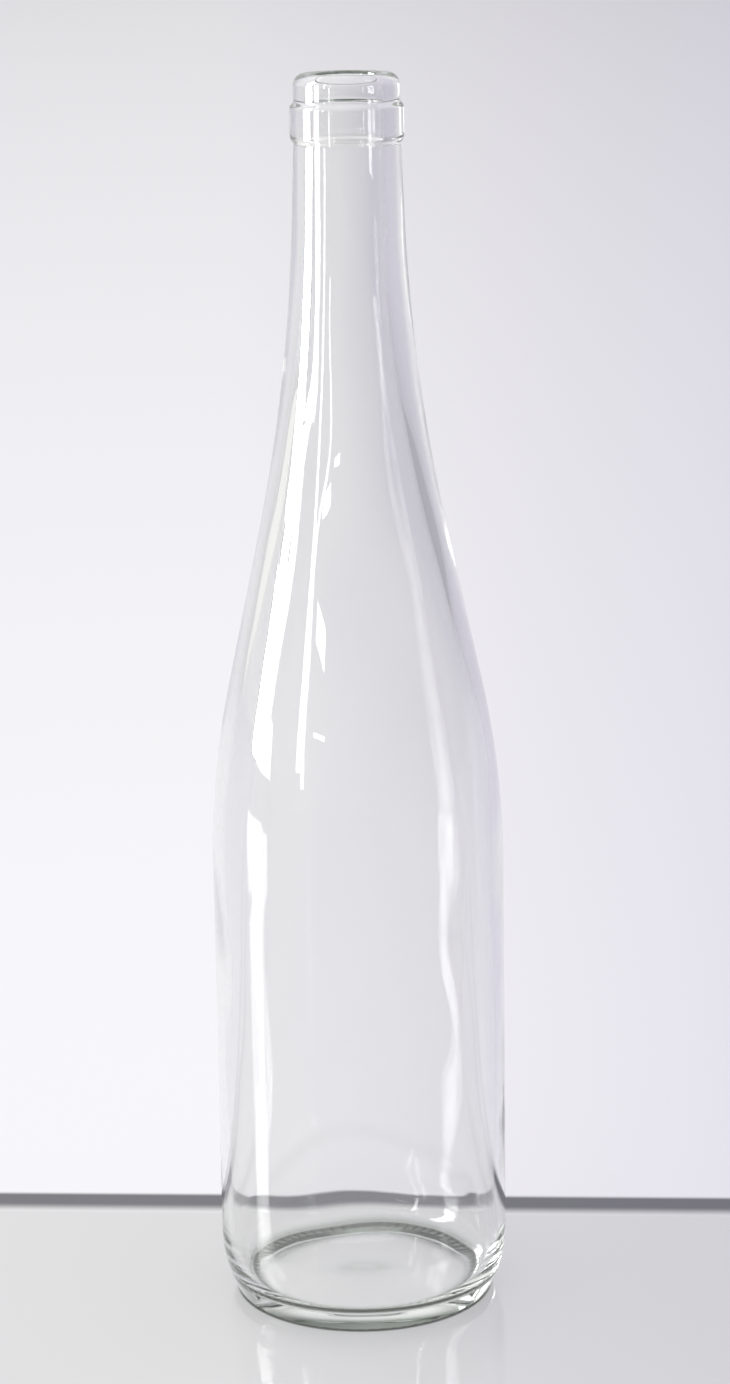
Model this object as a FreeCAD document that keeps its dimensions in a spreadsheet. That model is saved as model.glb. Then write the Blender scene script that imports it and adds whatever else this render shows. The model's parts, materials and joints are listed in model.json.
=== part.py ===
"""Empty clear-glass hock bottle, 750 ml class, with a plain cork finish.

The bottle is one hollow piece of glass, turned about the Z axis.  Its base stands
on z = 0 and its origin is the centre of that base.

The outside is one sketch, revolved.  From the base up it has a shallow push-up, a
flat bearing ring, a rounded heel, a straight body, a shoulder that bends inwards,
a straight slope, a sweep that bends back up, a nearly straight neck, the band
under the lip and the lip itself.  The inside is a second sketch, cut out with a
groove, which follows the same heights.
"""
import FreeCAD, Part
import math
import os
import Sketcher

# ---------------------------------------------------------------------------
# Sizes, in millimetres and degrees.  Each one can be changed by itself.
# ---------------------------------------------------------------------------
SIZES = [
    # the outside, from the base up: the rises add up to the full height
    ("body_diameter", 77.7, "outside of the straight body"),
    ("body_height", 119.3, "base to the start of the shoulder"),
    ("shoulder_rise", 49.8, "height over which the shoulder bends inwards"),
    ("slope_rise", 39.9, "height of the straight slope above it"),
    ("sweep_rise", 81.7, "height over which the slope bends back upright"),
    ("neck_rise", 19.7, "height of the straight neck under the band"),
    ("neck_diameter", 27.4, "outside of the neck right under the band"),
    ("neck_taper", 2.27, "lean of the neck's side, degrees"),
    # the band and the lip
    ("band_height", 10.5, "band, bevels included"),
    ("band_overhang", 0.88, "how far the band stands out from the neck"),
    ("band_bevel", 1.1, "height of the slant above and below the band"),
    ("band_round", 1.1, "rounding of the band's two edges"),
    ("root_round", 0.7, "rounding where the band meets neck and lip"),
    ("lip_setback", 1.02, "how far the lip stands back from the band"),
    ("lip_height", 7.1, "lip above the band"),
    ("lip_round", 2.9, "outer rounding of the lip"),
    ("mouth_round", 1.1, "inner rounding of the lip"),
    # the heel and the underside
    ("heel_height", 16.9, "height at which the heel meets the body"),
    ("heel_radius", 34.6, "large curve of the heel"),
    ("toe_radius", 1.6, "small curve from the heel to the bearing ring"),
    ("bearing_width", 2.4, "flat ring that the bottle stands on"),
    ("push_up", 3.0, "rise of the underside at its centre"),
    # the inside
    ("body_wall", 2.9, "wall of the straight body"),
    ("base_thickness", 5.0, "glass at the centre of the base"),
    ("floor_height", 5.7, "lowest level of the inside, round its edge"),
    ("floor_corner", 7.0, "curve from the inside floor to the wall"),
    ("bore_diameter", 18.6, "bore at the mouth"),
    ("bore_taper", 0.5, "lean of the bore's side, degrees"),
]

doc = FreeCAD.newDocument("HockBottle")
sheet = doc.addObject("Spreadsheet::Sheet", "Sizes")
for row, (alias, value, note) in enumerate(SIZES, start=1):
    sheet.set("A%d" % row, alias)
    sheet.set("B%d" % row, str(value))
    sheet.set("C%d" % row, note)
    sheet.setAlias("B%d" % row, alias)
doc.recompute()


def size(alias):
    """The number that the sheet holds under this alias."""
    return float(sheet.get(alias))


def stretch_slope(drop, bend_in, straight, bend_out, end_slope):
    """Slope, in radians, that makes an S of arc, line and arc lose `drop`.

    An arc that turns from slope a to slope b over a height h moves sideways by
    h tan((a + b) / 2).  The first arc turns from 0 to s, the line keeps s, and
    the second arc turns from s to end_slope, so s solves
        bend_in tan(s/2) + straight tan(s) + bend_out tan((s + end)/2) = drop.
    The left side grows steadily with s, and halving the range finds s.
    """
    low, high = end_slope, math.radians(80)
    for _ in range(60):
        slope = (low + high) / 2
        sideways = (bend_in * math.tan(slope / 2)
                    + straight * math.tan(slope)
                    + bend_out * math.tan((slope + end_slope) / 2))
        if sideways < drop:
            low = slope
        else:
            high = slope
    return slope


class Outline:
    """A closed half-section in a sketch: X is the radius, Y the height."""

    def __init__(self, body, name):
        plane = [f for f in body.Origin.OriginFeatures if f.Role == "XZ_Plane"][0]
        self.sketch = body.newObject("Sketcher::SketchObject", name)
        self.sketch.AttachmentSupport = [(plane, "")]
        self.sketch.MapMode = "FlatFace"
        self.edges = []      # (index, start vertex, end vertex) in drawing order
        self.here = None

    def start(self, radius, height):
        self.here = FreeCAD.Vector(radius, height, 0)

    def line_to(self, radius, height):
        """Straight edge from the last point; returns its index."""
        end = FreeCAD.Vector(radius, height, 0)
        index = self.sketch.addGeometry(Part.LineSegment(self.here, end), False)
        self._join(index, 1, 2, end)
        return index

    def arc_to(self, radius, height, centre_radius, centre_height):
        """Circular edge round the given centre, the short way; returns its index."""
        end = FreeCAD.Vector(radius, height, 0)
        centre = FreeCAD.Vector(centre_radius, centre_height, 0)
        first = self.here - centre
        last = end - centre
        turn = first.x * last.y - first.y * last.x
        circle = Part.Circle(centre, FreeCAD.Vector(0, 0, 1), first.Length)
        begin = math.atan2(first.y, first.x)
        finish = math.atan2(last.y, last.x)
        if turn > 0:
            arc = Part.ArcOfCircle(circle, begin, finish)
            index = self.sketch.addGeometry(arc, False)
            self._join(index, 1, 2, end)
        else:
            arc = Part.ArcOfCircle(circle, finish, begin)
            index = self.sketch.addGeometry(arc, False)
            self._join(index, 2, 1, end)
        return index

    def _join(self, index, first, last, end):
        """Tie the new edge's first vertex to the previous edge's last one."""
        if self.edges:
            before, _, at = self.edges[-1]
            self.rule("Coincident", before, at, index, first)
        self.edges.append((index, first, last))
        self.here = end

    def close(self):
        """Tie the last edge to the first one."""
        index, first, _ = self.edges[0]
        before, _, at = self.edges[-1]
        self.rule("Coincident", before, at, index, first)

    def rule(self, *words):
        """A geometric constraint without a size."""
        return self.sketch.addConstraint(Sketcher.Constraint(*words))

    def smooth(self, before, after):
        """Make two edges that share a point tangent to each other there."""
        ends = {index: (first, last) for index, first, last in self.edges}
        self.sketch.delConstraint(self._coincidence(before, after))
        self.rule("Tangent", before, ends[before][1], after, ends[after][0])

    def _coincidence(self, before, after):
        for number, rule in enumerate(self.sketch.Constraints):
            if rule.Type == "Coincident" and {rule.First, rule.Second} == {before, after}:
                return number
        raise RuntimeError("edges %d and %d don't meet" % (before, after))

    def dimension(self, name, kind, places, value, formula):
        """A named size, bound to the sheet by its formula."""
        number = self.sketch.addConstraint(Sketcher.Constraint(kind, *places, value))
        self.sketch.renameConstraint(number, name)
        self.sketch.setExpression("Constraints." + name, formula)

    def finish(self):
        doc.recompute()
        if self.sketch.solve() != 0 or not self.sketch.FullyConstrained:
            raise RuntimeError(self.sketch.Name + " isn't fully constrained")


ORIGIN = (-1, 1)       # the sketch's own origin, as a vertex
FLAT_AXIS = -1         # its horizontal axis, the level the bottle stands on
TURN_AXIS = -2         # its vertical axis, the bottle's axis

# ---------------------------------------------------------------------------
# Heights and radii that both outlines share
# ---------------------------------------------------------------------------
body_radius = size("body_diameter") / 2
neck_radius = size("neck_diameter") / 2
band_radius = neck_radius + size("band_overhang")
lip_radius = band_radius - size("lip_setback")
bore_radius = size("bore_diameter") / 2

shoulder_start = size("body_height")
slope_start = shoulder_start + size("shoulder_rise")
sweep_start = slope_start + size("slope_rise")
neck_start = sweep_start + size("sweep_rise")
band_start = neck_start + size("neck_rise")
lip_start = band_start + size("band_height")
total_height = lip_start + size("lip_height")

FULL_HEIGHT = ("Sizes.body_height + Sizes.shoulder_rise + Sizes.slope_rise"
               " + Sizes.sweep_rise + Sizes.neck_rise"
               " + Sizes.band_height + Sizes.lip_height")


def s_curve(outline, wall_radius, top_radius, lean, top_height):
    """Shoulder arc, slope, sweep arc and tapered tube, each smooth to the next.

    It leaves the wall upright at the start of the shoulder and reaches
    top_radius at top_height, leaning in by `lean` radians at the top.
    Returns the four edges' indices.
    """
    tube_rise = top_height - neck_start
    neck_foot = top_radius + tube_rise * math.tan(lean)
    slope = stretch_slope(wall_radius - neck_foot, size("shoulder_rise"),
                          size("slope_rise"), size("sweep_rise"), lean)
    shoulder_radius = size("shoulder_rise") / math.sin(slope)
    sweep_radius = size("sweep_rise") / (math.sin(slope) - math.sin(lean))

    slope_foot = wall_radius - shoulder_radius * (1 - math.cos(slope))
    slope_head = slope_foot - size("slope_rise") * math.tan(slope)
    shoulder = outline.arc_to(slope_foot, slope_start,
                              wall_radius - shoulder_radius, shoulder_start)
    straight = outline.line_to(slope_head, sweep_start)
    sweep = outline.arc_to(neck_foot, neck_start,
                           slope_head + sweep_radius * math.cos(slope),
                           sweep_start + sweep_radius * math.sin(slope))
    tube = outline.line_to(top_radius, top_height)
    outline.smooth(shoulder, straight)
    outline.smooth(straight, sweep)
    outline.smooth(sweep, tube)
    return shoulder, straight, sweep, tube


def s_curve_sizes(outline, prefix, edges):
    """Bind the heights of an s_curve's joints to the sheet."""
    shoulder, straight, sweep, tube = edges
    end = {index: last for index, _, last in outline.edges}
    outline.dimension(prefix + "_slope_start", "DistanceY",
                      (*ORIGIN, shoulder, end[shoulder]), slope_start,
                      "Sizes.body_height + Sizes.shoulder_rise")
    outline.dimension(prefix + "_sweep_start", "DistanceY",
                      (*ORIGIN, straight, end[straight]), sweep_start,
                      "Sizes.body_height + Sizes.shoulder_rise + Sizes.slope_rise")
    outline.dimension(prefix + "_neck_start", "DistanceY",
                      (*ORIGIN, sweep, end[sweep]), neck_start,
                      "Sizes.body_height + Sizes.shoulder_rise"
                      " + Sizes.slope_rise + Sizes.sweep_rise")


# ---------------------------------------------------------------------------
# The bottle
# ---------------------------------------------------------------------------
bottle = doc.addObject("PartDesign::Body", "Bottle")
bottle.Label = "bottle"

# Outside: one closed half-section, from the centre of the push-up out to the
# heel, up the side and back along the axis.
outside = Outline(bottle, "OutsideSketch")
heel_centre = body_radius - size("heel_radius")
toe_gap = size("heel_radius") - size("toe_radius")
toe_drop = size("heel_height") - size("toe_radius")
toe_centre = heel_centre + math.sqrt(toe_gap ** 2 - toe_drop ** 2)
toe_angle = math.atan2(-toe_drop, toe_centre - heel_centre)
bearing_inner = toe_centre - size("bearing_width")
dome_radius = (bearing_inner ** 2 + size("push_up") ** 2) / (2 * size("push_up"))

outside.start(0, size("push_up"))
dome = outside.arc_to(bearing_inner, 0, 0, size("push_up") - dome_radius)
bearing = outside.line_to(toe_centre, 0)
toe = outside.arc_to(heel_centre + size("heel_radius") * math.cos(toe_angle),
                     size("heel_height") + size("heel_radius") * math.sin(toe_angle),
                     toe_centre, size("toe_radius"))
heel = outside.arc_to(body_radius, size("heel_height"),
                      heel_centre, size("heel_height"))
side = outside.line_to(body_radius, shoulder_start)
outer_edges = s_curve(outside, body_radius, neck_radius,
                      math.radians(size("neck_taper")), band_start)
neck = outer_edges[-1]
under_band = outside.line_to(band_radius, band_start + size("band_bevel"))
band = outside.line_to(band_radius, lip_start - size("band_bevel"))
over_band = outside.line_to(lip_radius, lip_start)
lip = outside.line_to(lip_radius, total_height)
lid = outside.line_to(0, total_height)
axis_line = outside.line_to(0, size("push_up"))
outside.close()

outside.smooth(bearing, toe)
outside.smooth(toe, heel)
outside.smooth(heel, side)
outside.smooth(side, outer_edges[0])
outside.rule("PointOnObject", dome, 3, TURN_AXIS)
outside.rule("PointOnObject", axis_line, 2, TURN_AXIS)
outside.rule("PointOnObject", axis_line, 1, TURN_AXIS)
outside.rule("PointOnObject", bearing, 1, FLAT_AXIS)
outside.rule("Horizontal", bearing)
outside.rule("Vertical", side)
outside.rule("Vertical", band)
outside.rule("Vertical", lip)
outside.rule("Horizontal", lid)

outside.dimension("push_up", "DistanceY", (*ORIGIN, axis_line, 2),
                  size("push_up"), "Sizes.push_up")
outside.dimension("bearing_width", "DistanceX", (bearing, 1, bearing, 2),
                  size("bearing_width"), "Sizes.bearing_width")
outside.dimension("toe_radius", "Radius", (toe,), size("toe_radius"), "Sizes.toe_radius")
outside.dimension("heel_radius", "Radius", (heel,), size("heel_radius"),
                  "Sizes.heel_radius")
outside.dimension("heel_height", "DistanceY", (*ORIGIN, side, 1),
                  size("heel_height"), "Sizes.heel_height")
outside.dimension("body_radius", "DistanceX", (*ORIGIN, side, 1),
                  body_radius, "Sizes.body_diameter / 2")
outside.dimension("body_height", "DistanceY", (*ORIGIN, side, 2),
                  shoulder_start, "Sizes.body_height")
s_curve_sizes(outside, "outer", outer_edges)
outside.dimension("neck_rise", "DistanceY", (neck, 1, neck, 2),
                  size("neck_rise"), "Sizes.neck_rise")
outside.dimension("neck_radius", "DistanceX", (*ORIGIN, neck, 2),
                  neck_radius, "Sizes.neck_diameter / 2")
outside.dimension("neck_lean", "DistanceX", (neck, 2, neck, 1),
                  size("neck_rise") * math.tan(math.radians(size("neck_taper"))),
                  "Sizes.neck_rise * tan(Sizes.neck_taper * 1 deg)")
outside.dimension("band_overhang", "DistanceX", (neck, 2, band, 1),
                  size("band_overhang"), "Sizes.band_overhang")
outside.dimension("lower_bevel", "DistanceY", (neck, 2, band, 1),
                  size("band_bevel"), "Sizes.band_bevel")
outside.dimension("band_height", "DistanceY", (neck, 2, lip, 1),
                  size("band_height"), "Sizes.band_height")
outside.dimension("upper_bevel", "DistanceY", (band, 2, lip, 1),
                  size("band_bevel"), "Sizes.band_bevel")
outside.dimension("lip_setback", "DistanceX", (lip, 1, band, 2),
                  size("lip_setback"), "Sizes.lip_setback")
outside.dimension("lip_height", "DistanceY", (lip, 1, lip, 2),
                  size("lip_height"), "Sizes.lip_height")
outside.finish()

glass = bottle.newObject("PartDesign::Revolution", "Glass")
glass.Profile = outside.sketch
glass.ReferenceAxis = (outside.sketch, ["V_Axis"])
glass.Angle = 360
doc.recompute()
full_volume = glass.Shape.Volume

# Inside: the cavity's half-section, from the middle of the floor out to the
# wall and up to the mouth.  Its shoulder, slope and sweep turn at the outside's
# heights, so the wall thickens evenly from the body to the neck.
inside = Outline(bottle, "InsideSketch")
wall_radius = body_radius - size("body_wall")
floor_centre = size("push_up") + size("base_thickness")
corner_centre = wall_radius - size("floor_corner")
corner_height = size("floor_height") + size("floor_corner")
floor_gap = corner_height - floor_centre
floor_radius = ((corner_centre ** 2 + floor_gap ** 2 - size("floor_corner") ** 2)
                / (2 * (size("floor_corner") - floor_gap)))
floor_share = floor_radius / (floor_radius + size("floor_corner"))
floor_bottom = floor_centre - floor_radius

inside.start(0, floor_centre)
floor = inside.arc_to(corner_centre * floor_share,
                      floor_bottom + (corner_height - floor_bottom) * floor_share,
                      0, floor_bottom)
corner = inside.arc_to(wall_radius, corner_height, corner_centre, corner_height)
wall = inside.line_to(wall_radius, shoulder_start)
inner_edges = s_curve(inside, wall_radius, bore_radius,
                      math.radians(size("bore_taper")), total_height)
bore = inner_edges[-1]
mouth = inside.line_to(0, total_height)
core_line = inside.line_to(0, floor_centre)
inside.close()

inside.smooth(floor, corner)
inside.smooth(corner, wall)
inside.smooth(wall, inner_edges[0])
inside.rule("PointOnObject", floor, 3, TURN_AXIS)
inside.rule("PointOnObject", core_line, 2, TURN_AXIS)
inside.rule("PointOnObject", core_line, 1, TURN_AXIS)
inside.rule("Vertical", wall)
inside.rule("Horizontal", mouth)

inside.dimension("floor_centre", "DistanceY", (*ORIGIN, core_line, 2),
                 floor_centre, "Sizes.push_up + Sizes.base_thickness")
inside.dimension("floor_corner", "Radius", (corner,),
                 size("floor_corner"), "Sizes.floor_corner")
inside.dimension("corner_height", "DistanceY", (*ORIGIN, corner, 3),
                 corner_height, "Sizes.floor_height + Sizes.floor_corner")
inside.dimension("wall_radius", "DistanceX", (*ORIGIN, wall, 2),
                 wall_radius, "Sizes.body_diameter / 2 - Sizes.body_wall")
inside.dimension("wall_top", "DistanceY", (*ORIGIN, wall, 2),
                 shoulder_start, "Sizes.body_height")
s_curve_sizes(inside, "inner", inner_edges)
inside.dimension("bore_radius", "DistanceX", (*ORIGIN, bore, 2),
                 bore_radius, "Sizes.bore_diameter / 2")
inside.dimension("bore_top", "DistanceY", (*ORIGIN, bore, 2),
                 total_height, FULL_HEIGHT)
inside.dimension("bore_lean", "DistanceX", (bore, 2, bore, 1),
                 (total_height - neck_start) * math.tan(math.radians(size("bore_taper"))),
                 "(Sizes.neck_rise + Sizes.band_height + Sizes.lip_height)"
                 " * tan(Sizes.bore_taper * 1 deg)")
inside.finish()

cavity = bottle.newObject("PartDesign::Groove", "Cavity")
cavity.Profile = inside.sketch
cavity.ReferenceAxis = (inside.sketch, ["V_Axis"])
cavity.Angle = 360
doc.recompute()
if cavity.Shape.Volume > 0.5 * full_volume:
    raise RuntimeError("the cavity isn't cut out of the glass")


def circle_edge(feature, radius, height):
    """Name of the round edge of this radius at this height on the axis."""
    for number, edge in enumerate(feature.Shape.Edges, start=1):
        if edge.Degenerated or not isinstance(edge.Curve, Part.Circle):
            continue
        high = abs(edge.Curve.Center.z - height) < 0.01
        if high and abs(edge.Curve.Radius - radius) < 0.01:
            return "Edge%d" % number
    raise RuntimeError("no edge of radius %.2f at %.2f" % (radius, height))


def round_edges(name, base, circles, formula):
    """Fillet the named circles of the base feature by the formula's radius."""
    fillet = bottle.newObject("PartDesign::Fillet", name)
    fillet.Base = (base, [circle_edge(base, *circle) for circle in circles])
    fillet.setExpression("Radius", formula)
    doc.recompute()
    return fillet


# The band's edges, its roots, then the lip.  The lip's two roundings share the
# thickness of the lip, so the outer one gives way when the lip is thin.
band_edges = round_edges("BandEdges", cavity,
                         [(band_radius, band_start + size("band_bevel")),
                          (band_radius, lip_start - size("band_bevel"))],
                         "min(Sizes.band_round; Sizes.band_overhang * 1.3)")
band_roots = round_edges("BandRoots", band_edges,
                         [(neck_radius, band_start), (lip_radius, lip_start)],
                         "min(Sizes.root_round; Sizes.band_overhang * 0.9)")
lip_thickness = ("(Sizes.neck_diameter / 2 + Sizes.band_overhang - Sizes.lip_setback"
                 " - Sizes.bore_diameter / 2)")
mouth_edge = round_edges("MouthRound", band_roots, [(bore_radius, total_height)],
                         "min(Sizes.mouth_round; 0.4 * %s)" % lip_thickness)
lip_edge = round_edges("LipRound", mouth_edge, [(lip_radius, total_height)],
                       "min(Sizes.lip_round; %s - Sizes.mouth_round - 0.05;"
                       " 0.95 * Sizes.lip_height)" % lip_thickness)

# ---------------------------------------------------------------------------
# Check and write
# ---------------------------------------------------------------------------
doc.recompute()
for thing in doc.Objects:
    if "Invalid" in thing.State or "Error" in thing.State:
        raise RuntimeError("%s failed: %s" % (thing.Label, thing.State))
if bottle.Shape.isNull() or not bottle.Shape.isValid() or len(bottle.Shape.Solids) != 1:
    raise RuntimeError("the bottle isn't one valid solid")

os.makedirs("parts", exist_ok=True)
for node in [bottle]:
    node.Shape.exportStep("parts/%s.step" % node.Label)

capacity = (full_volume - cavity.Shape.Volume) / 1000
glass_volume = bottle.Shape.Volume / 1000
print("bottle: %.1f mm high, %.0f ml to the brim, %.1f cm3 of glass"
      % (bottle.Shape.BoundBox.ZMax, capacity, glass_volume))
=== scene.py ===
"""Empty clear-glass hock bottle on a pale table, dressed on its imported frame.

The bottle is one closed skin of glass, a profile carried round the Z axis: the
underside and its bearing ring, the heel, the side, the band and the lip, and then
the bore and the inside down to the floor.  Lengths are in metres.
"""
import json
import math

import bpy
import numpy as np
from bpy.props import (FloatProperty, FloatVectorProperty, IntProperty,
                       PointerProperty)
from mathutils import Matrix, Vector

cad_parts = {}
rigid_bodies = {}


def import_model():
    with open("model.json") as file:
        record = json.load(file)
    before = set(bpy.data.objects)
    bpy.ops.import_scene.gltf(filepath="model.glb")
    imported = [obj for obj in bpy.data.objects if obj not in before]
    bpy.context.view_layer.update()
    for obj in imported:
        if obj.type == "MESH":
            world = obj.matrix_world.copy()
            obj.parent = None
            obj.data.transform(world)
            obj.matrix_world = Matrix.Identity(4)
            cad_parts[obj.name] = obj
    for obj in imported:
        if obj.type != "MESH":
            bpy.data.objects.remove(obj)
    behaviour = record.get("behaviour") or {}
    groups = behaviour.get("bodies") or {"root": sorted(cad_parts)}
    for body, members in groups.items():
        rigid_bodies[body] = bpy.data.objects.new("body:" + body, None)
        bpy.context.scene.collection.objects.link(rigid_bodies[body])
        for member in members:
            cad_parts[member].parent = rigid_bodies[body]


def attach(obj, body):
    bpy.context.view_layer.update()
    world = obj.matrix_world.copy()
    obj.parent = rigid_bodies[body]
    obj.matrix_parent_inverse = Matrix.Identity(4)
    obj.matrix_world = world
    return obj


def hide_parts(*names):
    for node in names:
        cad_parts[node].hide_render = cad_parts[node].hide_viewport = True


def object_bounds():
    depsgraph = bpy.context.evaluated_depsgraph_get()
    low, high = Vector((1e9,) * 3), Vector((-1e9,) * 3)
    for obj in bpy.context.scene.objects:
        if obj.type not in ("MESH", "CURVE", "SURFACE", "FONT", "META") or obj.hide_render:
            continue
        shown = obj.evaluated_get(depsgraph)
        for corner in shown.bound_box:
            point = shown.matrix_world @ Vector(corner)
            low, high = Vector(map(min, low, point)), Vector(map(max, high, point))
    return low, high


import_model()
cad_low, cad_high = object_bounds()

bl_info = {
    "name": "Hock bottle",
    "version": (1, 0, 0),
    "blender": (4, 5, 0),
    "location": "3D View > Sidebar > Bottle",
    "description": "Clear-glass hock bottle with a cork finish, and its table",
    "category": "Add Mesh",
}

MM = 0.001


def srgb(hex_code):
    """Linear red, green and blue of an sRGB colour written as #rrggbb."""
    parts = np.array([int(hex_code[k:k + 2], 16) for k in (1, 3, 5)]) / 255
    linear = np.where(parts <= 0.04045, parts / 12.92, ((parts + 0.055) / 1.055) ** 2.4)
    return tuple(float(part) for part in linear)


def length(name, value, description):
    """A length property whose default is given in millimetres."""
    return FloatProperty(name=name, description=description, default=value * MM,
                         min=0.0, precision=5, subtype="DISTANCE", unit="LENGTH")


def angle(name, value, description):
    """An angle property whose default is given in degrees."""
    return FloatProperty(name=name, description=description,
                         default=math.radians(value), subtype="ANGLE", unit="ROTATION")


def colour(name, hex_code, description):
    """A colour property whose default is an sRGB hex value."""
    return FloatVectorProperty(name=name, description=description, size=3, min=0.0,
                               max=1.0, subtype="COLOR", default=srgb(hex_code))


# ---------------------------------------------------------------------------
# What a user would change
# ---------------------------------------------------------------------------
class BottleSizes(bpy.types.PropertyGroup):
    """Sizes of the glass.  Those of the main shape are the solid's own."""
    body_diameter: length("Body diameter", (cad_high.x - cad_low.x) / MM,
                          "Outside of the straight body")
    body_height: length("Body height", 119.3, "Base to the start of the shoulder")
    shoulder_rise: length("Shoulder rise", 49.8, "Height over which the shoulder bends in")
    slope_rise: length("Slope rise", 39.9, "Height of the straight slope")
    sweep_rise: length("Sweep rise", 81.7, "Height over which the slope bends back upright")
    neck_rise: length("Neck rise", 19.7, "Straight neck under the band")
    neck_diameter: length("Neck diameter", 27.4, "Outside of the neck under the band")
    neck_taper: angle("Neck taper", 2.27, "Lean of the neck's side")
    band_height: length("Band height", 10.5, "Band, bevels included")
    band_overhang: length("Band overhang", 0.88, "How far the band stands out")
    band_bevel: length("Band bevel", 1.1, "Height of the slants of the band")
    band_round: length("Band rounding", 1.1, "Rounding of the band's edges")
    root_round: length("Root rounding", 0.7, "Rounding at the band's roots")
    lip_setback: length("Lip setback", 1.02, "How far the lip stands back")
    lip_height: length("Lip height", 7.1, "Lip above the band")
    lip_round: length("Lip rounding", 2.9, "Outer rounding of the lip")
    mouth_round: length("Mouth rounding", 1.1, "Inner rounding of the lip")
    heel_height: length("Heel height", 16.9, "Height at which the heel meets the body")
    heel_radius: length("Heel radius", 34.6, "Large curve of the heel")
    toe_radius: length("Toe radius", 1.6, "Small curve from heel to bearing ring")
    bearing_width: length("Bearing width", 2.4, "Ring that the bottle stands on")
    push_up: length("Push-up", 3.0, "Rise of the underside at its centre")
    body_wall: length("Body wall", 2.9, "Wall of the straight body")
    base_thickness: length("Base thickness", 5.0, "Glass at the centre of the base")
    floor_height: length("Floor height", 4.8, "Lowest level of the inside")
    floor_corner: length("Floor corner", 5.5, "Width of the curve from floor to wall")
    floor_corner_height: length("Floor corner height", 14.0, "Height of that curve")
    bore_diameter: length("Bore diameter", 18.6, "Bore at the mouth")
    bore_taper: angle("Bore taper", 0.5, "Lean of the bore's side")
    knurl_count: IntProperty(name="Knurls", default=72, min=12, max=144,
                             description="Short bars round the bearing ring")
    knurl_depth: length("Knurl depth", 0.24, "Depth of the gaps between the bars")
    wall_wave: length("Wall wave", 0.16, "Unevenness that blowing leaves inside")
    dent_depth: length("Dent depth", 0.35, "Half the depth of the dent in the side")
    dent_turn: angle("Dent turn", 44.5, "Place of the dent round the bottle")
    dent_width: angle("Dent width", 16.0, "How far the dent reaches to each side")


class GlassFinish(bpy.types.PropertyGroup):
    """Colour and gloss of the glass."""
    tint: colour("Tint", "#f9f9f9", "Colour that each wall gives what is behind it")
    foot_tint: colour("Foot tint", "#989f97", "Colour that the bearing ring gives it")
    depth_tint: colour("Tint in depth", "#a0ae9e", "Colour that thick glass goes to")
    depth_density: FloatProperty(name="Density", default=4.5, min=0.0,
                                 description="Absorption per metre of glass")
    ior: FloatProperty(name="IOR", default=1.52, min=1.0, max=2.5,
                       description="Index of refraction of soda-lime glass")
    roughness: FloatProperty(name="Roughness", default=0.0, min=0.0, max=1.0,
                             subtype="FACTOR", description="Roughness of the fire polish")


class StageLook(bpy.types.PropertyGroup):
    """Table, backdrop, lights and camera."""
    table_colour: colour("Table", "#d6d6d7", "Glossy table top")
    backdrop_colour: colour("Backdrop", "#eeedf0", "Matt ground behind the table")
    # Painted shade: the dark strip stands for the shaded gap behind the table's back edge,
    # and the near colour is what that shade fades to on the table's side.
    gap_shade_colour: colour("Table edge", "#7b7b80", "Dark strip at the back of the table")
    edge_near_colour: colour("Edge, near side", "#dededf", "What the strip fades to in front")
    edge_distance: length("Edge distance", 50.5, "From the bottle's axis to the strip")
    edge_width: length("Edge width", 11.2, "Width of the dark strip")
    edge_turn: angle("Edge turn", -3.4, "Turn of the strip about the vertical")
    sky: FloatProperty(name="Soft light", default=1.0, min=0.0,
                       description="Strength of the light from all round")
    panel_power: FloatProperty(name="Panel radiance", default=220.0, min=0.0,
                               description="Brightness of the panels in the glass")
    lens: FloatProperty(name="Lens", default=91.6, min=10.0, unit="CAMERA",
                        description="Focal length on a 36 mm sensor")
    tilt: angle("Camera tilt", 13.673, "How far the camera looks down")
    roll: angle("Camera roll", -0.863, "Turn of the camera about its own axis")
    camera_place: FloatVectorProperty(name="Camera place", size=3, unit="LENGTH",
                                      subtype="TRANSLATION",
                                      description="Where the camera stands",
                                      default=(0.002458, -0.90405, 0.38634))


# ---------------------------------------------------------------------------
# Profiles and skins
# ---------------------------------------------------------------------------
def eased(count):
    """Numbers from 0 up to, but not with, 1, closer together at both ends."""
    return (1 - np.cos(np.pi * np.arange(count) / count)) / 2


def run(start, end, count):
    """Points on a straight line, closer together at both ends, without its end."""
    return np.array(start) + eased(count)[:, None] * (np.array(end) - np.array(start))


def even_run(start, end, count):
    """Points on a straight line at equal steps, without its end."""
    share = np.arange(count)[:, None] / count
    return np.array(start) + share * (np.array(end) - np.array(start))


def eased_share(value, start, end):
    """How far value has come from start to end: 0 to 1, as 3 x^2 - 2 x^3."""
    share = np.clip((value - start) / (end - start), 0, 1)
    return share ** 2 * (3 - 2 * share)


def bell(value, centre, width):
    """A bell curve of height 1: exp(-((value - centre) / width)^2)."""
    return np.exp(-((value - centre) / width) ** 2)


def arc(centre, start, end, count):
    """Points on the short arc round centre from start to end, without its end.

    The angle goes evenly from the start's to the end's.
    """
    first, last = np.array(start) - centre, np.array(end) - centre
    begin = math.atan2(first[1], first[0])
    turn = math.atan2(first[0] * last[1] - first[1] * last[0], float(first @ last))
    angles = begin + turn * np.arange(count) / count
    radius = np.hypot(*first)
    return np.array(centre) + radius * np.stack([np.cos(angles), np.sin(angles)], 1)


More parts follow.
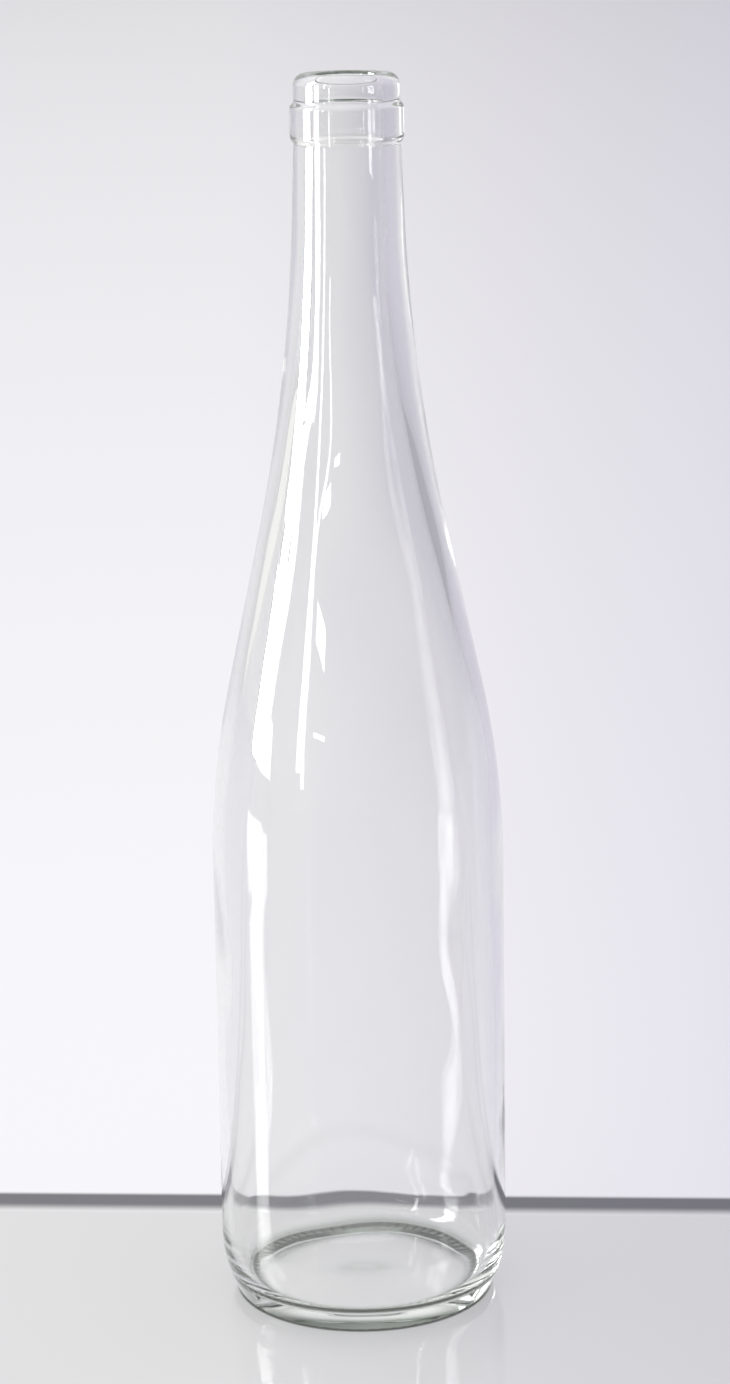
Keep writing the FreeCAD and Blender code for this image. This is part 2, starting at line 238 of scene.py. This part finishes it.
def rounded_corners(corners, radii, counts, run_counts):
    """A line through corners, each rounded by an arc that touches both its sides.

    The arc begins r tan(turn / 2) before the corner, and its centre is r to the
    side of the line that the line turns towards.  The stretch after the last arc is
    left out.
    """
    corners = np.array(corners)
    pieces, here = [], corners[0]
    for before, corner, after, radius, count, steps in zip(
            corners, corners[1:], corners[2:], radii, counts, run_counts):
        into = (corner - before) / np.linalg.norm(corner - before)
        out = (after - corner) / np.linalg.norm(after - corner)
        side = math.atan2(into[0] * out[1] - into[1] * out[0], float(into @ out))
        reach = radius * math.tan(abs(side) / 2)
        begin, end = corner - into * reach, corner + out * reach
        normal = np.array([-into[1], into[0]]) * math.copysign(1, side)
        pieces.append(run(here, begin, steps))
        pieces.append(arc(begin + normal * radius, begin, end, count))
        here = end
    return pieces


def stretch_slope(drop, bend_in, straight, bend_out, end_slope):
    """Slope of an S of arc, line and arc that moves in by drop, found by halving.

    bend_in tan(s/2) + straight tan(s) + bend_out tan((s + end)/2) = drop.
    """
    low, high = end_slope, math.radians(80)
    for _ in range(60):
        slope = (low + high) / 2
        sideways = (bend_in * math.tan(slope / 2) + straight * math.tan(slope)
                    + bend_out * math.tan((slope + end_slope) / 2))
        low, high = (slope, high) if sideways < drop else (low, slope)
    return slope


def side_radius(height, wall_radius, foot_radius, lean, sizes):
    """Radius at each height of a wall that is upright, then an S, up to the neck.

    Shoulder: R - R1 (1 - cos a) with sin a = rise / R1.  Slope: falls by tan(s).
    Sweep: the same arc turned over, ending at the neck's lean.
    """
    start = sizes.body_height
    slope_start = start + sizes.shoulder_rise
    sweep_start = slope_start + sizes.slope_rise
    slope = stretch_slope(wall_radius - foot_radius, sizes.shoulder_rise,
                          sizes.slope_rise, sizes.sweep_rise, lean)
    bend_in = sizes.shoulder_rise / math.sin(slope)
    bend_out = sizes.sweep_rise / (math.sin(slope) - math.sin(lean))
    slope_foot = wall_radius - bend_in * (1 - math.cos(slope))
    slope_head = slope_foot - sizes.slope_rise * math.tan(slope)
    rise = np.clip((height - start) / bend_in, 0, math.sin(slope))
    shoulder = wall_radius - bend_in * (1 - np.sqrt(1 - rise ** 2))
    straight = slope_foot - (height - slope_start) * math.tan(slope)
    sine = np.clip(math.sin(slope) - (height - sweep_start) / bend_out,
                   math.sin(lean), math.sin(slope))
    sweep = slope_head - bend_out * (np.sqrt(1 - sine ** 2) - math.cos(slope))
    return np.where(height < slope_start, shoulder,
                    np.where(height < sweep_start, straight, sweep))


def side_run(heights, wall_radius, foot_radius, lean, sizes):
    """Points of such a wall at the given heights."""
    return np.stack([side_radius(heights, wall_radius, foot_radius, lean, sizes),
                     heights], 1)


def grid_faces(first, rows, count):
    """Squares of rings of count points each, stacked row by row."""
    row, column = np.arange(rows - 1)[:, None], np.arange(count)[None, :]
    a = first + row * count + column
    b = first + row * count + (column + 1) % count
    return np.stack([a, b, b + count, a + count], -1).reshape(-1, 4)


def zip_faces(coarse, fine, count, coarse_first):
    """Triangles between a ring of count points and one of twice as many."""
    j = np.arange(count)
    a, b = coarse + j, coarse + (j + 1) % count
    c, d, e = fine + 2 * j, fine + 2 * j + 1, fine + (2 * j + 2) % (2 * count)
    if coarse_first:
        faces = [(a, d, c), (a, b, d), (b, e, d)]
    else:
        faces = [(c, d, a), (d, b, a), (d, e, b)]
    return np.concatenate([np.stack(face, 1) for face in faces])


def skin_object(name, points, faces, material):
    """A smooth mesh object at the origin from point and face arrays."""
    mesh = bpy.data.meshes.new(name)
    mesh.from_pydata(points.tolist(), [], [f for group in faces for f in group.tolist()])
    mesh.polygons.foreach_set("use_smooth", np.ones(len(mesh.polygons), bool))
    if mesh.validate():
        raise RuntimeError(name + " has broken faces")
    mesh.materials.append(material)
    piece = bpy.data.objects.new(name, mesh)
    bpy.context.scene.collection.objects.link(piece)
    return piece


# ---------------------------------------------------------------------------
# Materials
# ---------------------------------------------------------------------------
def add_node(tree, kind, settings=None, **sockets):
    """A node with its settings; a socket value that is a socket gets linked.

    Sockets are given by name, with _ for a space, or as in0, in1 by number.
    """
    node = tree.nodes.new(kind)
    for key, value in (settings or {}).items():
        setattr(node, key, value)
    for key, value in sockets.items():
        number = key[2:]
        socket = (node.inputs[int(number)] if key.startswith("in") and number.isdigit()
                  else node.inputs[key.replace("_", " ")])
        if isinstance(value, bpy.types.NodeSocket):
            tree.links.new(value, socket)
        else:
            if socket.type == "RGBA" and len(value) == 3:
                value = (*value, 1.0)
            socket.default_value = value
    return node


def fresh_tree(owner):
    """The emptied node tree of a material or a world."""
    owner.use_nodes = True
    owner.node_tree.nodes.clear()
    return owner.node_tree


def blown_flint_glass(look):
    """Clear soda-lime glass, blown in a mould and fire-polished.

    It gives the eye a hard, clean gloss, what is behind it bent and a little
    greyed, and a faint grey-green only where the glass is thick, in the heel.
    """
    material = bpy.data.materials.new("blown_flint_glass")
    tree = fresh_tree(material)
    place = add_node(tree, "ShaderNodeTexCoord").outputs["Object"]
    upright = add_node(tree, "ShaderNodeVectorMath", {"operation": "MULTIPLY"}, in0=place,
                       in1=(1.0, 1.0, 0.4))
    ripple = add_node(tree, "ShaderNodeTexNoise", Vector=upright.outputs[0],
                      Scale=1 / (9 * MM), Detail=1.0)
    skin = add_node(tree, "ShaderNodeBump", Height=ripple.outputs[0],
                    Strength=1.0, Distance=0.03 * MM)
    # The long way through the heel darkens what shows through the bearing ring: the
    # tint is laid on below 5 mm, more than 27 mm from the axis.
    apart = add_node(tree, "ShaderNodeSeparateXYZ", Vector=place)
    flat = add_node(tree, "ShaderNodeCombineXYZ", X=apart.outputs["X"],
                    Y=apart.outputs["Y"])
    radius = add_node(tree, "ShaderNodeVectorMath", {"operation": "LENGTH"},
                      in0=flat.outputs[0])
    low = add_node(tree, "ShaderNodeMapRange", {"interpolation_type": "SMOOTHSTEP"},
                   Value=apart.outputs["Z"], in1=5 * MM, in2=1 * MM)
    outer = add_node(tree, "ShaderNodeMapRange", {"interpolation_type": "SMOOTHSTEP"},
                     Value=radius.outputs["Value"], in1=27 * MM, in2=31 * MM)
    ring = add_node(tree, "ShaderNodeMath", {"operation": "MULTIPLY"},
                    in0=low.outputs[0], in1=outer.outputs[0])
    tint = add_node(tree, "ShaderNodeMix", {"data_type": "RGBA"}, in0=ring.outputs[0],
                    in6=look.tint[:], in7=look.foot_tint[:])
    surface = add_node(tree, "ShaderNodeBsdfPrincipled", Base_Color=tint.outputs[2],
                       Roughness=look.roughness, IOR=look.ior, Transmission_Weight=1.0,
                       Normal=skin.outputs[0])
    body = add_node(tree, "ShaderNodeVolumeAbsorption", Color=look.depth_tint[:],
                    Density=look.depth_density)
    add_node(tree, "ShaderNodeOutputMaterial", Surface=surface.outputs[0],
             Volume=body.outputs[0])
    return material


def lit_ground(tree, tone):
    """A colour in a pool of light: dimmer far from the bottle and to the right.

    Far: 1.034 - 0.11 ln(1 + r), r in metres.  Side: from 1 to 0.8 as
    x / (0.9 + r) goes from -0.035 to 0.16, turning to lavender.
    """
    place = add_node(tree, "ShaderNodeTexCoord").outputs["Object"]
    apart = add_node(tree, "ShaderNodeSeparateXYZ", Vector=place)
    away = add_node(tree, "ShaderNodeVectorMath", {"operation": "LENGTH"}, in0=place)
    beyond = add_node(tree, "ShaderNodeMath", {"operation": "ADD"},
                      in0=away.outputs["Value"], in1=1.0)
    log = add_node(tree, "ShaderNodeMath", {"operation": "LOGARITHM"},
                   in0=beyond.outputs[0], in1=math.e)
    far = add_node(tree, "ShaderNodeMath", {"operation": "MULTIPLY_ADD"},
                   in0=log.outputs[0], in1=-0.11, in2=1.034)
    reach = add_node(tree, "ShaderNodeMath", {"operation": "ADD"},
                     in0=away.outputs["Value"], in1=0.9)
    aside = add_node(tree, "ShaderNodeMath", {"operation": "DIVIDE"},
                     in0=apart.outputs["X"], in1=reach.outputs[0])
    side = add_node(tree, "ShaderNodeMapRange", Value=aside.outputs[0],
                    in1=-0.035, in2=0.16, in3=0.0, in4=1.0)
    left = add_node(tree, "ShaderNodeVectorMath", {"operation": "SCALE"},
                    in0=tone, Scale=far.outputs[0])
    shade = add_node(tree, "ShaderNodeMix", {"data_type": "RGBA"}, in0=side.outputs[0],
                     in6=(1.0, 1.0, 1.0), in7=(0.79, 0.775, 0.84))
    lit = add_node(tree, "ShaderNodeVectorMath", {"operation": "MULTIPLY"},
                   in0=left.outputs[0], in1=shade.outputs[2])
    # The shade right under the bearing ring: it comes in from 30 to 32.5 mm from the
    # axis and goes from 34.3 to 35.3 mm.
    inside = add_node(tree, "ShaderNodeMapRange", {"interpolation_type": "SMOOTHSTEP"},
                      Value=away.outputs["Value"], in1=30 * MM, in2=32.5 * MM)
    outside = add_node(tree, "ShaderNodeMapRange", {"interpolation_type": "SMOOTHSTEP"},
                       Value=away.outputs["Value"], in1=34.3 * MM, in2=35.3 * MM,
                       in3=1.0, in4=0.0)
    ring = add_node(tree, "ShaderNodeMath", {"operation": "MULTIPLY"},
                    in0=inside.outputs[0], in1=outside.outputs[0])
    under = add_node(tree, "ShaderNodeMix", {"data_type": "RGBA"}, in0=ring.outputs[0],
                     in6=(1.0, 1.0, 1.0), in7=(0.2, 0.21, 0.19))
    shaded = add_node(tree, "ShaderNodeVectorMath", {"operation": "MULTIPLY"},
                      in0=lit.outputs[0], in1=under.outputs[2])
    return shaded.outputs[0]


def lacquered_table(look):
    """Pale lacquered board with a clear gloss; its colour holds a painted pool of light and
    shade.
    """
    material = bpy.data.materials.new("lacquered_board")
    tree = fresh_tree(material)
    surface = add_node(tree, "ShaderNodeBsdfPrincipled", Roughness=0.03, IOR=1.5,
                       Specular_IOR_Level=0.7,
                       Base_Color=lit_ground(tree, look.table_colour[:]))
    add_node(tree, "ShaderNodeOutputMaterial", Surface=surface.outputs[0])
    return material


def matt_paper(look):
    """Matt paper: a pale tone without gloss, dimmed by a painted pool of light."""
    material = bpy.data.materials.new("matt_paper")
    tree = fresh_tree(material)
    surface = add_node(tree, "ShaderNodeBsdfPrincipled", Roughness=1.0,
                       Specular_IOR_Level=0.0,
                       Base_Color=lit_ground(tree, look.backdrop_colour[:]))
    add_node(tree, "ShaderNodeOutputMaterial", Surface=surface.outputs[0])
    return material


def painted_gap_shade(look):
    """Painted shade of the gap behind the table's back edge: a matt strip, dark in the
    middle and fading pale to both sides.

    Across the strip the painted shade comes in over 7 mm from the table's side, and
    goes over 3 mm to the backdrop's.
    """
    material = bpy.data.materials.new("painted_gap_shade")
    tree = fresh_tree(material)
    apart = add_node(tree, "ShaderNodeSeparateXYZ",
                     Vector=add_node(tree, "ShaderNodeTexCoord").outputs["Object"])
    across = add_node(tree, "ShaderNodeMath", {"operation": "MULTIPLY_ADD"},
                      in0=apart.outputs["X"], in1=-math.tan(look.edge_turn),
                      in2=apart.outputs["Y"])
    near, far = look.edge_distance, look.edge_distance + look.edge_width
    dark = add_node(tree, "ShaderNodeMapRange", {"interpolation_type": "SMOOTHSTEP"},
                    Value=across.outputs[0], in1=near - 3 * MM, in2=near + 4 * MM,
                    in3=0.0, in4=1.0)
    pale = add_node(tree, "ShaderNodeMapRange", {"interpolation_type": "SMOOTHSTEP"},
                    Value=across.outputs[0], in1=far - 1.5 * MM, in2=far + 1.5 * MM,
                    in3=0.0, in4=1.0)
    # The painted shade of the gap, fading to the table's tone in front.
    front = add_node(tree, "ShaderNodeMix", {"data_type": "RGBA"}, in0=dark.outputs[0],
                     in6=look.edge_near_colour[:], in7=look.gap_shade_colour[:])
    tone = add_node(tree, "ShaderNodeMix", {"data_type": "RGBA"}, in0=pale.outputs[0],
                    in6=front.outputs[2], in7=look.backdrop_colour[:])
    surface = add_node(tree, "ShaderNodeBsdfPrincipled", Roughness=0.6,
                       Specular_IOR_Level=0.0,
                       Base_Color=lit_ground(tree, tone.outputs[2]))
    add_node(tree, "ShaderNodeOutputMaterial", Surface=surface.outputs[0])
    return material


# ---------------------------------------------------------------------------
# Pieces
# ---------------------------------------------------------------------------
class BOTTLE_OT_glass(bpy.types.Operator):
    """Make the glass bottle and let it stand for its solid"""
    bl_idname = "hock.glass"
    bl_label = "Make the bottle"
    bl_options = {"REGISTER", "UNDO"}

    ROUND = 252        # points round the bottle; the knurled ring has twice as many
    RISE_ROWS = 72     # rows up the shoulder, the slope and the sweep

    # Waves of the wall: lobes round the bottle, pitch up it in millimetres, phase and
    # share of the wave's depth.  A pitch below 0 leans the other way.
    WAVES = ((2, 170, 0.4, 0.8), (3, 95, 2.1, 0.5), (5, 61, 4.0, 0.3),
             (4, -78, 1.2, 0.35), (7, 43, 5.3, 0.12), (1, 52, 3.3, 0.3))

    def underside(self, s):
        """Half-section from the centre of the underside to the toe.

        Returns the smooth dome and, from just inside the bearing ring to the heel,
        the part that carries the knurls, and where the heel's arc begins and is
        centred.
        """
        body = s.body_diameter / 2
        heel_centre = np.array([body - s.heel_radius, s.heel_height])
        gap, drop = s.heel_radius - s.toe_radius, s.heel_height - s.toe_radius
        toe_centre = np.array([heel_centre[0] + math.sqrt(gap ** 2 - drop ** 2),
                               s.toe_radius])
        inner = toe_centre[0] - s.bearing_width
        dome_radius = (inner ** 2 + s.push_up ** 2) / (2 * s.push_up)
        out = (toe_centre - heel_centre) / np.linalg.norm(toe_centre - heel_centre)
        toe_end = heel_centre + out * s.heel_radius
        dome_centre = (0.0, s.push_up - dome_radius)
        # The knurled part begins a little inside the bearing ring.
        edge = inner - 1.2 * MM
        rim = (edge, dome_centre[1] + math.sqrt(dome_radius ** 2 - edge ** 2))
        dome = arc(dome_centre, (0.0, s.push_up), rim, 12)[1:]
        ring = np.concatenate([
            arc(dome_centre, rim, (inner, 0.0), 3),
            even_run((inner, 0.0), (toe_centre[0], 0.0), 8),
            arc(toe_centre, (toe_centre[0], 0.0), toe_end, 8),
        ])
        return dome, ring, toe_end, heel_centre

    def finish(self, s, neck_foot, bore_foot):
        """Half-section of the neck, the band, the lip and the bore.

        Straight lines through corners, each of them rounded, from the neck's foot up
        to the lip and down into the bore.
        """
        neck, bore = s.neck_diameter / 2, s.bore_diameter / 2
        band_start = neck_foot[1] + s.neck_rise
        lip_start = band_start + s.band_height
        top = lip_start + s.lip_height
        band = neck + s.band_overhang
        lip = band - s.lip_setback
        # Between the lip's two roundings there is a flat, a hair wide at least.
        lip_round = min(s.lip_round, lip - bore - s.mouth_round - 0.05 * MM)
        corners = [neck_foot, (neck, band_start),
                   (band, band_start + s.band_bevel), (band, lip_start - s.band_bevel),
                   (lip, lip_start), (lip, top), (bore, top), bore_foot]
        radii = [s.root_round, s.band_round, s.band_round, s.root_round, lip_round,
                 s.mouth_round]
        arc_rows, straight_rows = [6, 6, 6, 6, 12, 8], [10, 3, 8, 3, 5, 4]
        return np.concatenate(rounded_corners(corners, radii, arc_rows, straight_rows))

    def inside(self, s, start, bore_foot):
        """Half-section from the bore's start down the wall to the floor's centre.

        The wall runs into the floor on a quarter of an upright ellipse, and the floor
        rises to its centre as half a cosine wave.
        """
        wall = s.body_diameter / 2 - s.body_wall
        middle = s.push_up + s.base_thickness
        corner = (wall - s.floor_corner, s.floor_height + s.floor_corner_height)
        bend = np.arange(18) / 18 * math.pi / 2
        curve = np.stack([corner[0] + s.floor_corner * np.cos(bend),
                          corner[1] - s.floor_corner_height * np.sin(bend)], 1)
        across = corner[0] * (1 - np.arange(14) / 14)
        swell = (1 + np.cos(math.pi * across / corner[0])) / 2
        floor = np.stack([across, s.floor_height + (middle - s.floor_height) * swell], 1)
        rows = np.concatenate([
            run(start, bore_foot, 9)[1:],
            side_run(np.linspace(bore_foot[1], s.body_height, self.RISE_ROWS + 1)[:-1],
                     wall, bore_foot[0], s.bore_taper, s),
            run((wall, s.body_height), (wall, corner[1]), 36),
            curve,
            floor,
        ])
        return rows, corner[1], middle

    def half_section(self, s):
        """The rows of the skin, in three parts: dome, knurled ring and the rest.

        Each is an array of radius and height, and the rest's third column is how much
        of the wall's wave it takes: none outside, near the floor and near the mouth.
        """
        body = s.body_diameter / 2
        neck_start = s.body_height + s.shoulder_rise + s.slope_rise + s.sweep_rise
        top = neck_start + s.neck_rise + s.band_height + s.lip_height
        neck_foot = (s.neck_diameter / 2 + s.neck_rise * math.tan(s.neck_taper),
                     neck_start)
        bore_foot = (s.bore_diameter / 2 + (top - neck_start) * math.tan(s.bore_taper),
                     neck_start)
        dome, ring, toe_end, heel_centre = self.underside(s)
        finish = self.finish(s, neck_foot, bore_foot)
        inner, corner_top, middle = self.inside(s, finish[-1], bore_foot)
        outer = np.concatenate([
            arc(heel_centre, toe_end, (body, s.heel_height), 22),
            even_run((body, s.heel_height), (body, s.body_height), 20),
            side_run(np.linspace(s.body_height, neck_start, self.RISE_ROWS + 1)[:-1],
                     body, neck_foot[0], s.neck_taper, s),
            finish,
        ])
        height = inner[:, 1]
        share = (eased_share(height, 14 * MM, 39 * MM)
                 * eased_share(height, top - 18 * MM, top - 78 * MM))
        share[height < corner_top] = 0
        rest = np.concatenate([np.column_stack([outer, np.zeros(len(outer))]),
                               np.column_stack([inner, share])])
        return dome, ring, rest, (s.push_up, middle)

    def wave(self, turn, height):
        """Slow waves of a blown wall: the sum over WAVES of
        share x sin(lobes x angle + 2 pi height / pitch + phase).
        """
        wave = np.zeros(np.broadcast(turn, height).shape)
        for lobes, pitch, phase, share in self.WAVES:
            wave += share * np.sin(lobes * turn + 2 * np.pi * height / (pitch * MM) + phase)
        return wave

    def dent(self, s, turn, height):
        """A dent that the mould left in the side, the same outside and inside.

        Its depth is 1 + b sin(9 x angle from its middle), in a bell round the bottle.
        b is a sum of bells up the bottle: 1.1 at 63 mm, -1 at 92 mm and -1 at 24 mm.
        It comes in from 14 to 22 mm and goes from 110 to 150 mm.
        """
        beside = turn - s.dent_turn
        ripple = (1.1 * bell(height, 63 * MM, 13 * MM) - bell(height, 92 * MM, 12 * MM)
                  - bell(height, 24 * MM, 7 * MM))
        part = (eased_share(height, 14 * MM, 22 * MM)
                * eased_share(height, 150 * MM, 110 * MM))
        return (s.dent_depth * part * bell(beside, 0.0, s.dent_width)
                * (1 + ripple * np.sin(9 * beside)))

    def knurled(self, s, ring, turn):
        """Heights of the bearing ring with its knurls.

        The gaps rise above the table by depth x (1 - cos(n angle)) / 2, and fade to
        nothing over the inner quarter and the outer sixth of the ring's rows.
        """
        along = np.linspace(0, 1, len(ring))
        strength = np.clip(np.minimum(along, (1 - along) * 1.5) * 4, 0, 1)
        gaps = (1 - np.cos(s.knurl_count * turn)) / 2
        return ring[:, 1][:, None] + s.knurl_depth * strength[:, None] * gaps[None, :]

    def carried(self, radius, height, turn):
        """Points of rows of radius and height carried round the axis."""
        radius, height, turn = np.broadcast_arrays(radius, height, turn[None, :])
        return np.stack([radius * np.cos(turn), radius * np.sin(turn), height],
                        -1).reshape(-1, 3)

    def faces(self, dome, ring, rest, last):
        """Faces of the skin: a fan at each pole, bands of squares, and triangles where
        the ring has twice as many points.
        """
        n = self.ROUND
        ring_first = 1 + dome * n
        rest_first = ring_first + ring * 2 * n
        last_row = rest_first + (rest - 1) * n
        j = np.arange(n)
        after = (j + 1) % n
        low, high = np.zeros(n, int), np.full(n, last)
        return [
            np.stack([low, 1 + after, 1 + j], 1),
            grid_faces(1, dome, n),
            zip_faces(ring_first - n, ring_first, n, True),
            grid_faces(ring_first, ring, 2 * n),
            zip_faces(rest_first, rest_first - 2 * n, n, False),
            grid_faces(rest_first, rest, n),
            np.stack([last_row + j, last_row + after, high], 1),
        ]

    def execute(self, context):
        s = context.scene.bottle_sizes
        dome, ring, rest, poles = self.half_section(s)
        coarse = np.arange(self.ROUND) * 2 * np.pi / self.ROUND
        fine = np.arange(2 * self.ROUND) * np.pi / self.ROUND
        turn, height = coarse[None, :], rest[:, 1][:, None]
        radius = (rest[:, 0][:, None]
                  + s.wall_wave * rest[:, 2][:, None] * self.wave(turn, height)
                  - self.dent(s, turn, height))
        points = np.concatenate([
            [[0.0, 0.0, poles[0]]],
            self.carried(dome[:, 0][:, None], dome[:, 1][:, None], coarse),
            self.carried(ring[:, 0][:, None], self.knurled(s, ring, fine), fine),
            self.carried(radius, height, coarse),
            [[0.0, 0.0, poles[1]]]])
        faces = self.faces(len(dome), len(ring), len(rest), len(points) - 1)
        glass = blown_flint_glass(context.scene.glass_finish)
        piece = skin_object("glass_bottle", points, faces, glass)
        # Clear glass lets the soft light through, so it leaves no shade on the table.
        piece.visible_diffuse = False
        glassware = bpy.data.collections.new("glassware")
        glassware.objects.link(piece)
        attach(piece, "root")
        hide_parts("bottle")
        return {"FINISHED"}


class BOTTLE_OT_stage(bpy.types.Operator):
    """Lay the table and the backdrop, light them and set up the camera"""
    bl_idname = "hock.stage"
    bl_label = "Set the stage"
    bl_options = {"REGISTER", "UNDO"}

    # Light panels: name, place, the point that it faces, width, height, share of the
    # radiance, the collection that it shows in and its lean in degrees.  A tall leaning
    # one at the left over a wider low one, and a narrow and a small one by the camera.
    PANELS = (
        ("left_panel", (-1.505, -0.095, 0.84), (-0.027, -0.027, 0.84), 0.33, 1.04,
         1.0, "glass_and_board", -10.0),
        ("left_sill", (-1.506, -0.05, 0.205), (-0.027, -0.027, 0.205), 0.42, 0.24,
         1.0, "glass_and_board", 0.0),
        ("front_slot", (-1.887, -1.640, 0.88), (0.0, 0.0, 0.88), 0.153, 1.44,
         0.05, "glassware", 0.0),
        ("front_square", (-1.40, -2.04, 0.645), (0.0, 0.0, 0.645), 0.45, 0.04,
         0.05, "glassware", 0.0),
    )

    def ground(self, name, near, far, turn, material, level=-0.1 * MM):
        """A level strip of ground between two distances behind the bottle's axis."""
        half = 12.0
        shift = math.tan(turn) * half
        corners = [(-half, near - shift, level), (half, near + shift, level),
                   (half, far + shift, level), (-half, far - shift, level)]
        mesh = bpy.data.meshes.new(name)
        mesh.from_pydata(corners, [], [(0, 1, 2, 3)])
        mesh.materials.append(material)
        strip = bpy.data.objects.new(name, mesh)
        bpy.context.scene.collection.objects.link(strip)
        return strip

    def panel(self, name, place, target, width, height, radiance, seen_in, lean):
        """A bright panel that shows only in one collection's gloss and glass."""
        light = bpy.data.lights.new(name, "AREA")
        light.shape = "RECTANGLE"
        light.size, light.size_y = width, height
        light.energy = radiance * math.pi * width * height
        lamp = bpy.data.objects.new(name, light)
        away = Vector(target) - Vector(place)
        lamp.matrix_world = (Matrix.Translation(place)
                             @ away.to_track_quat("-Z", "Y").to_matrix().to_4x4()
                             @ Matrix.Rotation(math.radians(lean), 4, "Z"))
        lamp.visible_camera = False
        lamp.visible_diffuse = False
        lamp.light_linking.receiver_collection = bpy.data.collections[seen_in]
        bpy.context.scene.collection.objects.link(lamp)

    def lay_ground(self, look):
        """The table, the strip of painted shade at its back and the backdrop.

        The table is there twice: as it is seen, and a hair lower as the glass mirrors
        it, so that the image of the panels in the board shows in the glass alone.
        """
        near, far = look.edge_distance, look.edge_distance + look.edge_width
        blend = 3 * MM
        lacquer = lacquered_table(look)
        seen = self.ground("table_top", -12.0, near - blend, look.edge_turn, lacquer)
        seen.visible_glossy = seen.visible_transmission = False
        seen.visible_diffuse = seen.visible_shadow = False
        mirrored = self.ground("table_in_glass", -12.0, near - blend, look.edge_turn,
                               lacquer, -0.15 * MM)
        mirrored.visible_camera = mirrored.visible_diffuse = False
        mirrored.visible_shadow = False
        both = bpy.data.collections.new("glass_and_board")
        for each in (mirrored, *bpy.data.collections["glassware"].objects):
            both.objects.link(each)
        # A strip of painted shade where the gap behind the table's back edge falls dark.
        self.ground("shaded_gap_strip", near - blend, far + blend / 2, look.edge_turn,
                    painted_gap_shade(look))
        self.ground("backdrop", far + blend / 2, 14.0, look.edge_turn, matt_paper(look))

    def light_sky(self, look):
        """Soft light from all round: bright from the left and above, and dim and a
        little blue from the right.

        The low part goes from dim to bright as the direction turns to the left, and
        gives way to the part above between heights 0.15 and 0.75 on the unit sphere.
        """
        dim, bright, above = (0.46, 0.45, 0.5), (0.98, 0.98, 0.96), (1.2, 1.2, 1.2)
        world = bpy.data.worlds.new("soft_studio")
        bpy.context.scene.world = world
        tree = fresh_tree(world)
        place = add_node(tree, "ShaderNodeTexCoord")
        toward = add_node(tree, "ShaderNodeVectorMath", {"operation": "DOT_PRODUCT"},
                          in0=place.outputs["Generated"], in1=(-0.97, 0.1, 0.0))
        left = add_node(tree, "ShaderNodeMapRange", {"interpolation_type": "SMOOTHSTEP"},
                        Value=toward.outputs["Value"], in1=-0.6, in2=0.9)
        low = add_node(tree, "ShaderNodeMix", {"data_type": "RGBA"},
                       in0=left.outputs[0], in6=dim, in7=bright)
        apart = add_node(tree, "ShaderNodeSeparateXYZ", Vector=place.outputs["Generated"])
        high = add_node(tree, "ShaderNodeMapRange", {"interpolation_type": "SMOOTHSTEP"},
                        Value=apart.outputs["Z"], in1=0.15, in2=0.75)
        light = add_node(tree, "ShaderNodeMix", {"data_type": "RGBA"},
                         in0=high.outputs[0], in6=low.outputs[2], in7=above)
        ground = add_node(tree, "ShaderNodeBackground", Color=light.outputs[2],
                          Strength=look.sky)
        add_node(tree, "ShaderNodeOutputWorld", Surface=ground.outputs[0])

    def set_camera(self, scene, look):
        """The camera, turned to the tilt and roll of the look."""
        camera = bpy.data.cameras.new("camera")
        camera.lens, camera.sensor_width, camera.sensor_fit = look.lens, 36.0, "AUTO"
        camera.dof.use_dof = False
        stand = bpy.data.objects.new("camera", camera)
        stand.matrix_world = (Matrix.Translation(look.camera_place)
                              @ Matrix.Rotation(math.pi / 2 - look.tilt, 4, "X")
                              @ Matrix.Rotation(look.roll, 4, "Z"))
        scene.collection.objects.link(stand)
        scene.camera = stand

    def execute(self, context):
        scene, look = context.scene, context.scene.stage_look
        self.lay_ground(look)
        self.light_sky(look)
        for name, place, target, width, height, share, seen_in, lean in self.PANELS:
            self.panel(name, place, target, width, height, look.panel_power * share,
                       seen_in, lean)
        self.set_camera(scene, look)
        scene.view_settings.view_transform = "Standard"
        scene.view_settings.look = "None"
        # Light crosses many walls of clear glass before it leaves the bottle.
        scene.cycles.max_bounces = 128
        scene.cycles.transmission_bounces = 128
        scene.cycles.glossy_bounces = 128
        return {"FINISHED"}


class BOTTLE_PT_sidebar(bpy.types.Panel):
    """Sizes, finish and stage of the bottle"""
    bl_idname = "BOTTLE_PT_sidebar"
    bl_label = "Hock bottle"
    bl_space_type = "VIEW_3D"
    bl_region_type = "UI"
    bl_category = "Bottle"

    def draw(self, context):
        for title, group, operator in (
                ("Sizes", context.scene.bottle_sizes, BOTTLE_OT_glass),
                ("Glass", context.scene.glass_finish, None),
                ("Stage", context.scene.stage_look, BOTTLE_OT_stage)):
            box = self.layout.box()
            box.label(text=title)
            for name in group.__annotations__:
                box.prop(group, name)
            if operator:
                box.operator(operator.bl_idname)


CLASSES = (BottleSizes, GlassFinish, StageLook, BOTTLE_OT_glass, BOTTLE_OT_stage,
           BOTTLE_PT_sidebar)


def register():
    for each in CLASSES:
        bpy.utils.register_class(each)
    bpy.types.Scene.bottle_sizes = PointerProperty(type=BottleSizes)
    bpy.types.Scene.glass_finish = PointerProperty(type=GlassFinish)
    bpy.types.Scene.stage_look = PointerProperty(type=StageLook)


def unregister():
    for name in ("bottle_sizes", "glass_finish", "stage_look"):
        delattr(bpy.types.Scene, name)
    for each in reversed(CLASSES):
        bpy.utils.unregister_class(each)


def main():
    register()
    bpy.ops.hock.glass()
    bpy.ops.hock.stage()


if __name__ == "__main__":
    main()
